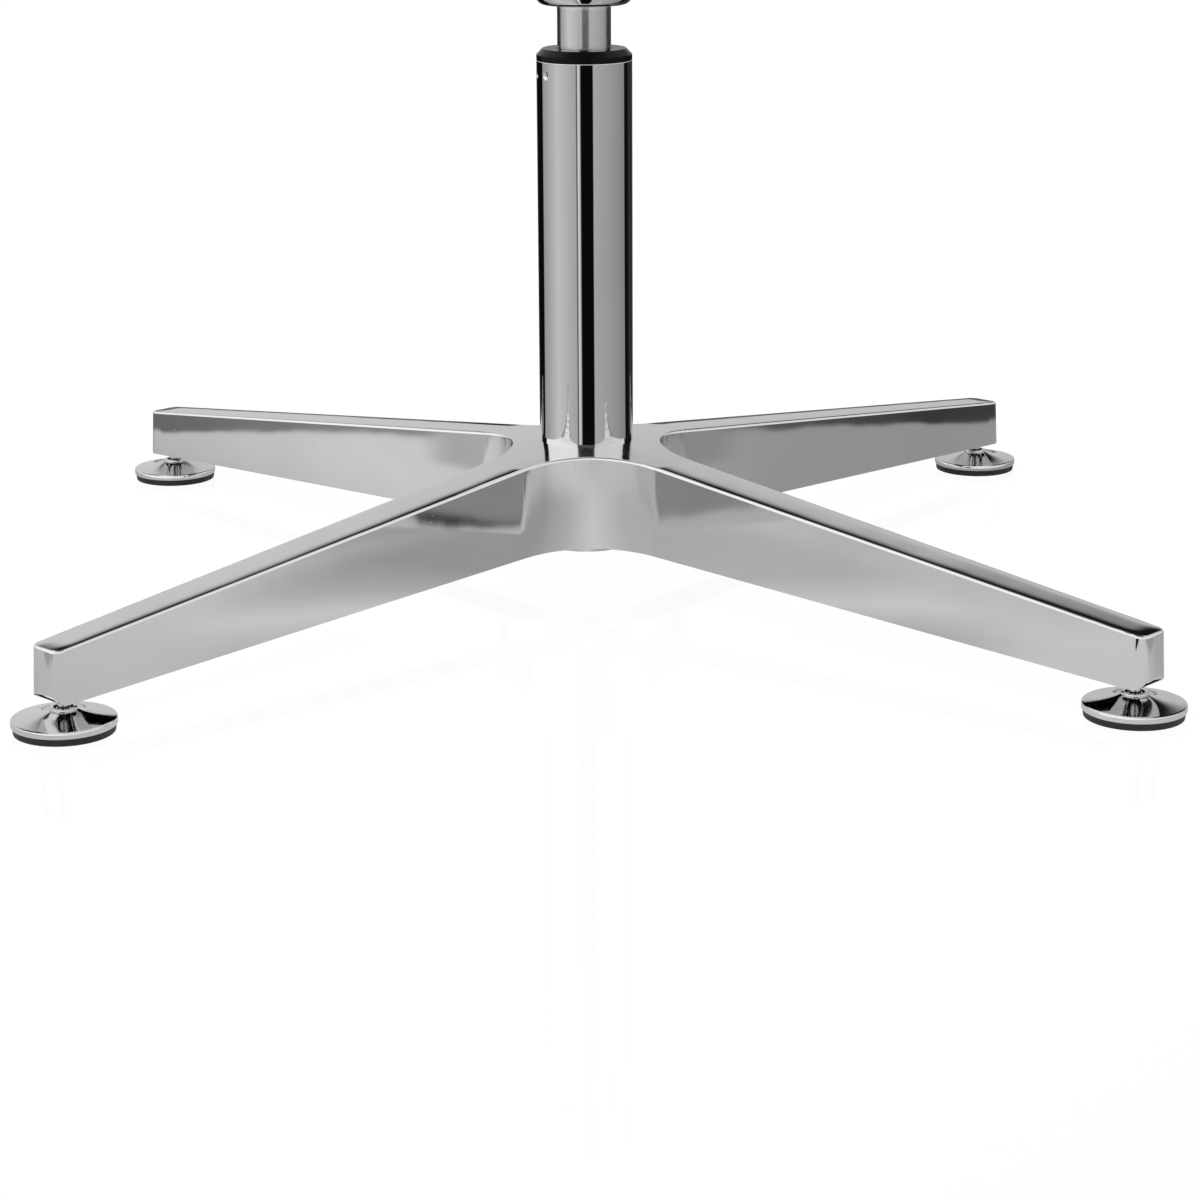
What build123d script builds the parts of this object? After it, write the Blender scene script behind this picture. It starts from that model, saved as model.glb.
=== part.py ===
from build123d import *
import os
from math import asin, degrees, radians, sqrt, tan

os.makedirs("parts", exist_ok=True)

# Four star chair base: a die-cast star on four swivel glides, and a gas lift column in its hub.
# Millimetres and degrees. The origin is on the floor under the column's axis, and +Z is up.
# The legs lie along +X, +Y, -X and -Y.

# Glide: rubber pad, cast dome, nylon liner and a stem with a ball end
pad_height = 3.6
pad_radius = 24.2
pad_draft = 0.5
pad_floor = 1.6
rim_radius = 24.7
rim_height = 3.0
rim_round = 0.6
dome_wall = 1.5
neck_radius = 7.3
neck_rise = 3.8
neck_groove = 0.6
lip_radius = 6.6
lip_height = 1.5
lip_round = 0.4
ball_radius = 4.5
ball_gap = 0.3
liner_wall = 0.95
liner_up = 2.4
liner_down = 2.6
liner_fit = 0.05
seat_fit = 0.1
seat_wall = 1.6
seat_mouth = 3.0
stem_neck_radius = 2.8
stem_neck_cone = 0.8
stem_radius = 3.95
stem_height = 34.0
stem_chamfer = 0.8

# Star: the section of a leg at the column's axis and at its end
leg_count = 4
leg_reach = 363.0
leg_axis_half_width = 14.4
leg_end_half_width = 10.1
leg_end_depth = 26.0
leg_axis_depth = 51.7
leg_rise = 14.3
leg_draft = 3.0
leg_floor_gap = 4.0
hub_corner_radius = 46.0
tip_corner_radius = 7.5
tip_round = 5.5
edge_round = 1.4
leg_wall = 4.0
leg_skin = 4.5
hub_wall = 8.0
rib_count = 3
rib_wall = 3.0
rib_rise = 7.0
glide_inset = 10.0
tip_block = 9.0
thread_fit = 0.05
thread_run = 4.0

# Column: stand tube and guide bush
tube_radius = 25.0
tube_wall = 2.0
tube_show = 201.7
tube_foot = 7.3
tube_lip = 1.5
tube_lip_width = 2.0
tube_edge = 0.4
cone_rate = 1 / 40
press_gap = 0.03
dimple_drop = 6.8
dimple_radius = 5.0
dimple_depth = 0.6
dimple_spread = 25.0
dimple_turn = -112.4
dimple_sides = 2
bump_radius = 2.2
bump_depth = 0.5
bump_room = 0.5
bush_lip = 2.9
bush_chamfer = 3.1
bush_length = 74.0
bush_land = 20.0
bush_relief = 0.6
bush_mouth = 0.8
run_fit = 0.05

# Gas lift: cylinder, rod, piston, guide, valve and release pin
lift_radius = 14.0
lift_wall = 1.8
lift_down = 20.0
lift_up = 80.0
lift_show = 22.4
stop_gap = 2.5
crimp = 1.5
crimp_radius = 8.5
taper_lead = 2.0
taper_length = 40.0
taper_edge = 0.8
rod_radius = 5.0
rod_end_radius = 4.0
rod_end_show = 2.5
rivet_height = 2.0
rivet_radius = 5.5
piston_height = 12.0
piston_margin = 4.0
piston_fit = 0.08
guide_height = 18.0
valve_height = 26.0
pin_radius = 4.0
pin_show = 5.5
pin_length = 16.0
pin_collar_radius = 6.0
pin_collar_height = 3.0
pin_travel = 4.0
pin_stop_gap = 0.1
pin_round = 1.0

# Cover cup on the foot of the taper
cup_radius = 24.9
cup_height = 24.0
cup_wall = 1.2
cup_corner = 4.5

# Thrust bearing, plate, buffer and clip at the foot of the column
plate_height = 3.5
race_height = 1.6
race_inner_gap = 0.3
race_radius = 12.0
bearing_pitch_radius = 8.0
bearing_ball_radius = 1.75
bearing_ball_count = 10
bearing_gap = 0.1
groove_radius = 1.9
groove_depth = 0.45
cage_width = 5.6
cage_height = 1.6
buffer_height = 10.0
buffer_radius = 12.0
buffer_round = 1.5
clip_height = 1.2
clip_radius = 7.5
clip_gap = 0.3
clip_slot = 5.0
clip_groove_radius = 3.0

# Glide heights
rim_top = pad_height + rim_height
glide_neck = rim_top + neck_rise
glide_top = glide_neck + lip_height
ball_height = pad_floor + ball_gap + ball_radius
liner_radius = ball_radius + liner_fit + liner_wall
seat_radius = liner_radius + seat_fit
boss_radius = seat_radius + seat_wall
lip_mouth_radius = sqrt(seat_radius**2 - seat_mouth**2)
glide_reach = leg_reach - glide_inset

# Leg heights at its end and at the axis
leg_end_bottom = glide_top + leg_floor_gap
leg_end_top = leg_end_bottom + leg_end_depth
leg_axis_bottom = leg_end_bottom + leg_rise
leg_axis_top = leg_axis_bottom + leg_axis_depth
draft_rate = tan(radians(leg_draft))


def leg_top(reach):
    """Height of the star's upper cone at a distance from the axis."""
    return leg_axis_top + (leg_end_top - leg_axis_top) * reach / leg_reach


def leg_bottom(reach):
    """Height of the star's lower cone at a distance from the axis."""
    return leg_axis_bottom + (leg_end_bottom - leg_axis_bottom) * reach / leg_reach


def leg_floor_half_width(reach):
    """Half width of a leg's drafted walls, carried down to the floor."""
    slope = (leg_end_half_width - leg_axis_half_width) / leg_reach
    return leg_axis_half_width + slope * reach + draft_rate * leg_top(reach)


# Column heights
hub_top = leg_top(tube_radius)
tube_bottom = leg_bottom(tube_radius) - tube_foot
tube_top = hub_top + tube_show
bush_top = tube_top + bush_lip + bush_chamfer
cup_bottom = bush_top + lift_show
taper_start = cup_bottom - taper_lead
lift_top = taper_start + taper_length
plate_bottom = tube_bottom + tube_lip
plate_top = plate_bottom + plate_height
lower_race_top = plate_top + race_height
bearing_height = lower_race_top - groove_depth + bearing_gap + bearing_ball_radius
upper_race_bottom = bearing_height + bearing_ball_radius + bearing_gap - groove_depth
rod_shoulder = upper_race_bottom + race_height
buffer_top = rod_shoulder + buffer_height
lift_bottom = buffer_top + lift_down + stop_gap
guide_bottom = lift_bottom + crimp
guide_top = guide_bottom + guide_height
piston_bottom = guide_top + lift_up + piston_margin
piston_top = piston_bottom + piston_height
valve_top = lift_top - crimp
valve_bottom = valve_top - valve_height
dimple_height = tube_top - dimple_drop


def tube_cone(height):
    """Outer radius of the stand tube, which narrows below the hub's top."""
    return tube_radius - cone_rate * max(hub_top - height, 0)


def lift_cone(height):
    """Outer radius of the gas cylinder, which narrows above the start of its taper."""
    return lift_radius - cone_rate * max(height - taper_start, 0)


def write(builder, name):
    """Label a finished piece and write its STEP file."""
    builder.part.label = name
    export_step(builder.part, f"parts/{name}.step")


# Core of one leg's open underside, with the cross ribs left out of it
core_start = tube_radius + hub_wall
core_end = glide_reach - tip_block
core_top = leg_axis_top - leg_skin
rib_pitch = (core_end - core_start) / (rib_count + 1)

with BuildPart() as leg_core:
    with BuildSketch():
        start_width = leg_floor_half_width(core_start) - leg_wall
        end_width = leg_floor_half_width(core_end) - leg_wall
        Polygon(
            (core_start, -start_width),
            (core_end, -end_width),
            (core_end, end_width),
            (core_start, start_width),
            align=None,
        )
    extrude(amount=core_top, taper=leg_draft)
    with BuildSketch(Plane.XZ):
        Polygon(
            (0, 0),
            (leg_reach, 0),
            (leg_reach, leg_end_top - leg_skin),
            (0, core_top),
            align=None,
        )
    revolve(axis=Axis.Z, mode=Mode.INTERSECT)
    for number in range(1, rib_count + 1):
        rib_reach = core_start + number * rib_pitch
        with Locations((rib_reach, 0, leg_bottom(rib_reach) + rib_rise)):
            Box(
                rib_wall,
                2 * leg_floor_half_width(rib_reach),
                leg_axis_depth,
                align=(Align.CENTER, Align.CENTER, Align.MIN),
                mode=Mode.SUBTRACT,
            )

# Star: a drafted four-legged plan, cut above and below by the cones that its legs slope along
tip_reach = leg_reach + draft_rate * leg_end_top
tip_end = leg_reach + draft_rate * (leg_end_depth - tip_round)
star_margin = 2 * tip_round
bore_top_radius = tube_cone(leg_axis_top) + press_gap
bore_bottom_radius = tube_cone(0) + press_gap
stem_bore_radius = stem_radius + thread_fit

with BuildPart() as star_base:
    with BuildSketch() as star_plan:
        with PolarLocations(0, leg_count):
            Polygon(
                (0, -leg_floor_half_width(0)),
                (tip_reach, -leg_floor_half_width(tip_reach)),
                (tip_reach, leg_floor_half_width(tip_reach)),
                (0, leg_floor_half_width(0)),
                align=None,
            )
        corners = star_plan.vertices().sort_by_distance((0, 0, 0))
        fillet(corners[:leg_count], hub_corner_radius)
        tips = star_plan.vertices().sort_by_distance((0, 0, 0))
        fillet(tips[-2 * leg_count:], tip_corner_radius)
    extrude(amount=leg_axis_top, taper=leg_draft)
    with BuildSketch(Plane.XZ):
        with BuildLine():
            under = Line((0, leg_axis_bottom), (tip_end - tip_round, leg_bottom(tip_end - tip_round)))
            toe = RadiusArc(under @ 1, (tip_end, leg_end_bottom + tip_round), -tip_round)
            Polyline(
                toe @ 1,
                (tip_end + star_margin, leg_end_bottom + tip_round),
                (tip_end + star_margin, leg_top(tip_end + star_margin)),
                (0, leg_axis_top),
                under @ 0,
            )
        make_face()
    revolve(axis=Axis.Z, mode=Mode.INTERSECT)
    upper = star_base.faces().filter_by(GeomType.CONE).sort_by(Axis.Z)[-1]
    fillet(upper.outer_wire().edges(), edge_round)
    with PolarLocations(0, leg_count):
        add(leg_core.part, mode=Mode.SUBTRACT)
    with BuildSketch(Plane.XZ):
        with BuildLine():
            Polyline(
                (0, 0),
                (bore_bottom_radius, 0),
                (tube_cone(hub_top) + press_gap, hub_top),
                (bore_top_radius, leg_axis_top),
                (0, leg_axis_top),
                close=True,
            )
        make_face()
    revolve(axis=Axis.Z, mode=Mode.SUBTRACT)
    with BuildSketch():
        with PolarLocations(glide_reach, leg_count):
            Circle(stem_bore_radius)
    extrude(amount=stem_height + thread_run, mode=Mode.SUBTRACT)
write(star_base, "star_base")

# Stand tube: straight above the hub, narrowing inside it, and crimped under the bearing plate
with BuildPart() as column_tube:
    with BuildSketch(Plane.XZ):
        with BuildLine():
            Polyline(
                (tube_cone(tube_bottom) - tube_wall - tube_lip_width, tube_bottom),
                (tube_cone(tube_bottom), tube_bottom),
                (tube_radius, hub_top),
                (tube_radius, tube_top),
                (tube_radius - tube_wall, tube_top),
                (tube_radius - tube_wall, hub_top),
                (tube_cone(plate_bottom) - tube_wall, plate_bottom),
                (tube_cone(tube_bottom) - tube_wall - tube_lip_width, plate_bottom),
                close=True,
            )
        make_face()
    revolve(axis=Axis.Z)
    rim = column_tube.edges().filter_by(GeomType.CIRCLE).group_by(Axis.Z)[-1].sort_by(SortBy.RADIUS)[-1]
    fillet(rim, tube_edge)
    bump_reach = tube_radius - tube_wall - bump_depth + bump_radius
    dimple_reach = tube_radius - dimple_depth + dimple_radius
    with Locations((0, 0, dimple_height)):
        for turn in (dimple_turn - dimple_spread / 2, dimple_turn + dimple_spread / 2):
            with PolarLocations(bump_reach, dimple_sides, start_angle=turn):
                Sphere(bump_radius)
            with PolarLocations(dimple_reach, dimple_sides, start_angle=turn):
                Sphere(dimple_radius, mode=Mode.SUBTRACT)
write(column_tube, "column_tube")

# Guide bush: a plastic sleeve with a chamfered head, a groove for the dimples and two running lands
bush_radius = tube_radius - tube_wall - press_gap
bush_bottom = tube_top - bush_length
bush_bore = lift_radius + run_fit
groove_half = bump_radius + bump_room

with BuildPart() as guide_bush:
    with BuildSketch(Plane.XZ):
        with BuildLine():
            Polyline(
                (bush_bore, bush_bottom),
                (bush_radius, bush_bottom),
                (bush_radius, dimple_height - groove_half),
                (bush_radius - bump_room - bump_depth, dimple_height - groove_half),
                (bush_radius - bump_room - bump_depth, dimple_height + groove_half),
                (bush_radius, dimple_height + groove_half),
                (bush_radius, tube_top),
                (tube_radius, tube_top),
                (tube_radius, tube_top + bush_lip),
                (tube_radius - bush_chamfer, bush_top),
                (bush_bore + bush_mouth, bush_top),
                (bush_bore, bush_top - bush_mouth),
                (bush_bore, bush_top - bush_land),
                (bush_bore + bush_relief, bush_top - bush_land),
                (bush_bore + bush_relief, bush_bottom + bush_land),
                (bush_bore, bush_bottom + bush_land),
                close=True,
            )
        make_face()
    revolve(axis=Axis.Z)
write(guide_bush, "guide_bush")

# Bearing plate: a steel disc held in the tube's foot by the crimp
rod_hole_radius = rod_end_radius + run_fit
with BuildPart() as bearing_plate:
    with BuildSketch(Plane.XZ):
        Polygon(
            (rod_hole_radius, plate_bottom),
            (tube_cone(plate_bottom) - tube_wall - press_gap, plate_bottom),
            (tube_cone(plate_top) - tube_wall - press_gap, plate_top),
            (rod_hole_radius, plate_top),
            align=None,
        )
    revolve(axis=Axis.Z)
write(bearing_plate, "bearing_plate")

# Thrust bearing: two grooved races, and ten balls in a cage between them
groove_rise = groove_radius - bearing_ball_radius - bearing_gap
for name, low, inner, groove_height in (
    ("lower_race", plate_top, rod_end_radius + race_inner_gap, bearing_height + groove_rise),
    ("upper_race", upper_race_bottom, rod_end_radius + run_fit, bearing_height - groove_rise),
):
    with BuildPart() as race:
        with BuildSketch(Plane.XZ):
            with Locations(((inner + race_radius) / 2, low + race_height / 2)):
                Rectangle(race_radius - inner, race_height)
            with Locations((bearing_pitch_radius, groove_height)):
                Circle(groove_radius, mode=Mode.SUBTRACT)
        revolve(axis=Axis.Z)
    write(race, name)

with BuildPart() as bearing_cage:
    with BuildSketch(Plane.XY.offset(bearing_height - cage_height / 2)):
        Circle(bearing_pitch_radius + cage_width / 2)
        Circle(bearing_pitch_radius - cage_width / 2, mode=Mode.SUBTRACT)
        with PolarLocations(bearing_pitch_radius, bearing_ball_count):
            Circle(bearing_ball_radius + bearing_gap, mode=Mode.SUBTRACT)
    extrude(amount=cage_height)
write(bearing_cage, "bearing_cage")

with BuildPart() as bearing_balls:
    with Locations((0, 0, bearing_height)):
        with PolarLocations(bearing_pitch_radius, bearing_ball_count):
            Sphere(bearing_ball_radius)
write(bearing_balls, "bearing_balls")

# Rubber buffer round the rod, which the gas cylinder meets at the bottom of its travel
with BuildPart() as rubber_buffer:
    with BuildSketch(Plane.XY.offset(rod_shoulder)):
        Circle(buffer_radius)
        Circle(rod_radius + bearing_gap, mode=Mode.SUBTRACT)
    extrude(amount=buffer_height)
    fillet(rubber_buffer.edges().group_by(Axis.Z)[-1].sort_by(SortBy.RADIUS)[-1], buffer_round)
write(rubber_buffer, "rubber_buffer")

# Piston rod: its foot passes the bearing and the plate, and its head is riveted over the piston
rod_bottom = tube_bottom - rod_end_show
clip_top = plate_bottom - clip_gap
clip_bottom = clip_top - clip_height
with BuildPart() as piston_rod:
    with BuildSketch(Plane.XZ):
        with BuildLine():
            Polyline(
                (0, rod_bottom),
                (rod_end_radius, rod_bottom),
                (rod_end_radius, clip_bottom - bearing_gap),
                (clip_groove_radius, clip_bottom - bearing_gap),
                (clip_groove_radius, clip_top + bearing_gap),
                (rod_end_radius, clip_top + bearing_gap),
                (rod_end_radius, rod_shoulder),
                (rod_radius, rod_shoulder),
                (rod_radius, piston_bottom),
                (rod_end_radius, piston_bottom),
                (rod_end_radius, piston_top),
                (rivet_radius, piston_top),
                (rivet_radius, piston_top + rivet_height),
                (0, piston_top + rivet_height),
                close=True,
            )
        make_face()
    revolve(axis=Axis.Z)
write(piston_rod, "piston_rod")

# Retaining clip in the rod's groove, open on one side
with BuildPart() as retaining_clip:
    with BuildSketch(Plane.XY.offset(clip_bottom)):
        Circle(clip_radius)
        Circle(clip_groove_radius + press_gap, mode=Mode.SUBTRACT)
        with Locations((clip_radius / 2, 0)):
            Rectangle(clip_radius, clip_slot, mode=Mode.SUBTRACT)
    extrude(amount=clip_height)
write(retaining_clip, "retaining_clip")

# Gas cylinder: a tube of even wall, crimped at both ends, with the seat taper at its top
with BuildPart() as gas_cylinder:
    with BuildSketch(Plane.XZ):
        with BuildLine():
            Polyline(
                (crimp_radius, lift_bottom),
                (lift_radius - taper_edge, lift_bottom),
                (lift_radius, lift_bottom + taper_edge),
                (lift_radius, taper_start),
                (lift_cone(lift_top), lift_top - taper_edge),
                (lift_cone(lift_top) - taper_edge, lift_top),
                (crimp_radius, lift_top),
                (crimp_radius, valve_top),
                (lift_cone(valve_top) - lift_wall, valve_top),
                (lift_radius - lift_wall, taper_start),
                (lift_radius - lift_wall, guide_bottom),
                (crimp_radius, guide_bottom),
                close=True,
            )
        make_face()
    revolve(axis=Axis.Z)
write(gas_cylinder, "gas_cylinder")

# Rod guide in the cylinder's foot, and the piston on the rod's head
with BuildPart() as rod_guide:
    with BuildSketch(Plane.XY.offset(guide_bottom)):
        Circle(lift_radius - lift_wall - press_gap)
        Circle(rod_radius + run_fit, mode=Mode.SUBTRACT)
    extrude(amount=guide_height)
write(rod_guide, "rod_guide")

with BuildPart() as piston:
    with BuildSketch(Plane.XY.offset(piston_bottom)):
        Circle(lift_radius - lift_wall - piston_fit)
        Circle(rod_end_radius + press_gap, mode=Mode.SUBTRACT)
    extrude(amount=piston_height)
write(piston, "piston")

# Valve block in the cylinder's head, stepped to keep the release pin captive
pin_seat = lift_top + pin_show - pin_length + pin_collar_height + pin_stop_gap
with BuildPart() as valve_block:
    with BuildSketch(Plane.XZ):
        with BuildLine():
            Polyline(
                (0, valve_bottom),
                (lift_cone(valve_bottom) - lift_wall - press_gap, valve_bottom),
                (lift_cone(valve_top) - lift_wall - press_gap, valve_top),
                (pin_radius + run_fit, valve_top),
                (pin_radius + run_fit, pin_seat),
                (pin_collar_radius + run_fit, pin_seat),
                (pin_collar_radius + run_fit, pin_seat - pin_collar_height - 2 * pin_travel),
                (0, pin_seat - pin_collar_height - 2 * pin_travel),
                close=True,
            )
        make_face()
    revolve(axis=Axis.Z)
write(valve_block, "valve_block")

with BuildPart() as release_pin:
    pin_bottom = lift_top + pin_show - pin_length
    with BuildSketch(Plane.XY.offset(pin_bottom)):
        Circle(pin_collar_radius)
    extrude(amount=pin_collar_height)
    with BuildSketch(Plane.XY.offset(pin_bottom)):
        Circle(pin_radius)
    extrude(amount=pin_length)
    fillet(release_pin.edges().group_by(Axis.Z)[-1], pin_round)
write(release_pin, "release_pin")

# Cover cup: a pressed cup that jams on the foot of the taper
with BuildPart() as cover_cup:
    with BuildSketch(Plane.XY.offset(cup_bottom)):
        Circle(cup_radius)
    extrude(amount=cup_height)
    fillet(cover_cup.edges().group_by(Axis.Z)[0], cup_corner)
    offset(amount=-cup_wall, openings=cover_cup.faces().sort_by(Axis.Z)[-1])
    with BuildSketch(Plane.XY.offset(cup_bottom)):
        Circle(lift_cone(cup_bottom) + press_gap)
    extrude(amount=cup_wall, mode=Mode.SUBTRACT)
write(cover_cup, "cover_cup")

# Glides: one of each piece, modelled under the leg along +X and turned to the other legs
full_turn = 360
glide_line = Axis((glide_reach, 0, 0), (0, 0, 1))
stem_neck_top = leg_end_bottom - 2 * stem_neck_cone

with BuildPart() as glide_pad:
    with BuildSketch(Plane.XZ):
        with BuildLine():
            Polyline(
                (glide_reach, 0),
                (glide_reach + pad_radius - pad_draft, 0),
                (glide_reach + pad_radius, pad_height),
                (glide_reach + boss_radius + seat_fit, pad_height),
                (glide_reach + boss_radius + seat_fit, pad_floor),
                (glide_reach, pad_floor),
                close=True,
            )
        make_face()
    revolve(axis=glide_line)

with BuildPart() as glide_dome:
    with BuildSketch(Plane.XZ):
        with BuildLine():
            rim = Polyline(
                (glide_reach + boss_radius, pad_height),
                (glide_reach + boss_radius, pad_floor),
                (glide_reach + seat_radius, pad_floor),
                (glide_reach + seat_radius, ball_height),
            )
            seat = CenterArc((glide_reach, ball_height), seat_radius, 0, degrees(asin(seat_mouth / seat_radius)))
            lip = Polyline(
                seat @ 1,
                (glide_reach + lip_mouth_radius, glide_top),
                (glide_reach + lip_radius - lip_round, glide_top),
                (glide_reach + lip_radius, glide_top - lip_round),
                (glide_reach + lip_radius, glide_neck + neck_groove),
                (glide_reach + lip_radius - neck_groove / 2, glide_neck + neck_groove / 2),
                (glide_reach + neck_radius, glide_neck),
            )
            bell = Bezier(
                lip @ 1,
                (glide_reach + neck_radius + rim_round, rim_top + rim_round),
                (glide_reach + rim_radius / 2, rim_top + rim_round / 2),
                (glide_reach + rim_radius - rim_round, rim_top),
            )
            Polyline(
                bell @ 1,
                (glide_reach + rim_radius, rim_top - rim_round),
                (glide_reach + rim_radius, pad_height),
                (glide_reach + rim_radius - dome_wall, pad_height),
                (glide_reach + rim_radius - dome_wall, rim_top - dome_wall),
                (glide_reach + boss_radius, rim_top - dome_wall / 2),
                rim @ 0,
            )
        make_face()
    revolve(axis=glide_line)

with BuildPart() as glide_liner:
    with BuildSketch(Plane.XZ):
        with Locations((glide_reach, ball_height)):
            Circle(liner_radius)
            Circle(ball_radius + liner_fit, mode=Mode.SUBTRACT)
        with Locations((glide_reach, ball_height - liner_down)):
            Rectangle(liner_radius, liner_up + liner_down, align=(Align.MIN, Align.MIN), mode=Mode.INTERSECT)
    revolve(axis=glide_line)

with BuildPart() as glide_stem:
    with BuildSketch(Plane.XZ):
        with Locations((glide_reach, ball_height)):
            Circle(ball_radius)
            Rectangle(ball_radius, 2 * ball_radius, align=(Align.MIN, Align.CENTER), mode=Mode.INTERSECT)
        with BuildLine():
            Polyline(
                (glide_reach, ball_height),
                (glide_reach + stem_neck_radius, ball_height),
                (glide_reach + stem_neck_radius, stem_neck_top),
                (glide_reach + stem_radius, stem_neck_top + stem_neck_cone),
                (glide_reach + stem_radius, stem_height - stem_chamfer),
                (glide_reach + stem_radius - stem_chamfer, stem_height),
                (glide_reach, stem_height),
                close=True,
            )
        make_face()
    revolve(axis=glide_line)

for number, corner in enumerate(("east", "north", "west", "south")):
    turn = number * full_turn / leg_count
    for kind, master in (
        ("pad", glide_pad),
        ("dome", glide_dome),
        ("liner", glide_liner),
        ("stem", glide_stem),
    ):
        with BuildPart() as copy:
            add(master.part, rotation=(0, 0, turn))
        write(copy, f"glide_{kind}_{corner}")
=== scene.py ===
"""Looks of the four star chair base: finishes, turned domes, studio and camera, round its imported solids."""

import logging
from dataclasses import dataclass
from enum import Enum
from math import cos, pi, radians, sin
from typing import Any

import bpy
from mathutils import Matrix, Vector


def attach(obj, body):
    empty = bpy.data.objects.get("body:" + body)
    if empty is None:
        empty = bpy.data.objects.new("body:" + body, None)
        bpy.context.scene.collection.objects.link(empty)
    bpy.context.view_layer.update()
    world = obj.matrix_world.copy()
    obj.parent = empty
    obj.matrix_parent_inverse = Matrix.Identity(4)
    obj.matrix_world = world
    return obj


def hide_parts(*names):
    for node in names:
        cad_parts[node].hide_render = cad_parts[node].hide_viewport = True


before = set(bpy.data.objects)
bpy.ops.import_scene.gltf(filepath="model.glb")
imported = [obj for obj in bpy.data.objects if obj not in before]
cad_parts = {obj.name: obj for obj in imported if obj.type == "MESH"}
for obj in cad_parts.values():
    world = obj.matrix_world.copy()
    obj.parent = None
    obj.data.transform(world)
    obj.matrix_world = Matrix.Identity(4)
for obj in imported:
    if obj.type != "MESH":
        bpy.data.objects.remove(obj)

LOG = logging.getLogger("chair_base")
MM = 0.001
FULL_TURN = 360.0
FRONT = 0.5
WHITE = (1.0, 1.0, 1.0, 1.0)
PLAN = (1.0, 1.0, 0.0)
CORNERS = ("east", "north", "west", "south")


class Signal:
    """One number running through a node tree, used in Python expressions."""

    def __init__(self, graph: "Graph", socket: bpy.types.NodeSocket) -> None:
        """Wraps a socket.

        Args:
            graph: the node tree that the socket belongs to.
            socket: the output that carries the number.
        """
        self.graph = graph
        self.socket = socket

    def _math(self, operation: str, first: Any, second: Any) -> "Signal":
        """Adds one Math node.

        Args:
            operation: the Math node's operation.
            first: the first operand, a number or a Signal.
            second: the second operand, a number or a Signal.

        Returns:
            The node's result.
        """
        node = self.graph.node("ShaderNodeMath", {"operation": operation}, {0: first, 1: second})
        return Signal(self.graph, node.outputs[0])

    def __add__(self, other: Any) -> "Signal":
        """Sum."""
        return self._math("ADD", self, other)

    def __radd__(self, other: Any) -> "Signal":
        """Reflected sum."""
        return self._math("ADD", other, self)

    def __sub__(self, other: Any) -> "Signal":
        """Difference."""
        return self._math("SUBTRACT", self, other)

    def __rsub__(self, other: Any) -> "Signal":
        """Reflected difference."""
        return self._math("SUBTRACT", other, self)

    def __mul__(self, other: Any) -> "Signal":
        """Product."""
        return self._math("MULTIPLY", self, other)

    def __rmul__(self, other: Any) -> "Signal":
        """Reflected product."""
        return self._math("MULTIPLY", other, self)

    def __truediv__(self, other: Any) -> "Signal":
        """Quotient."""
        return self._math("DIVIDE", self, other)

    def __rtruediv__(self, other: Any) -> "Signal":
        """Reflected quotient."""
        return self._math("DIVIDE", other, self)

    def angle_to(self, other: "Signal") -> "Signal":
        """The angle, in radians, of the point whose place is this number across and the other along."""
        return self._math("ARCTAN2", self, other)

    def size(self) -> "Signal":
        """The number without its sign."""
        return self._math("ABSOLUTE", self, 0.0)

    def most(self, other: Any) -> "Signal":
        """The greater of two numbers."""
        return self._math("MAXIMUM", self, other)

    def elevation(self) -> "Signal":
        """The elevation, in radians, of a direction that rises by this number."""
        return self._math("ARCSINE", self, 0.0)

    def step(self, low: float, high: float) -> "Signal":
        """Smooth step from 0 at low to 1 at high.

        Args:
            low: the value where the step starts.
            high: the value where the step ends, which may be the smaller one.

        Returns:
            The stepped number.
        """
        node = self.graph.node(
            "ShaderNodeMapRange",
            {"interpolation_type": "SMOOTHSTEP", "clamp": True},
            {"Value": self, "From Min": low, "From Max": high},
        )
        return Signal(self.graph, node.outputs["Result"])

    def band(self, low: float, high: float, blur: float) -> "Signal":
        """1 between two values and 0 outside them, with soft ends.

        Args:
            low: the lower end.
            high: the upper end.
            blur: the width of each soft end.

        Returns:
            The band's mask.
        """
        rise = self.step(low - blur / 2, low + blur / 2)
        fall = self.step(high - blur / 2, high + blur / 2)
        return rise * (1 - fall)


@dataclass(frozen=True)
class Grain:
    """A pattern of noise on a surface.

    Its waves are counted per metre and its octaves add finer ones. A stretch below 1 draws the pattern out
    along that axis.
    """

    waves: float
    octaves: float = 2.0
    stretch: tuple[float, float, float] = (1.0, 1.0, 1.0)


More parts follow.
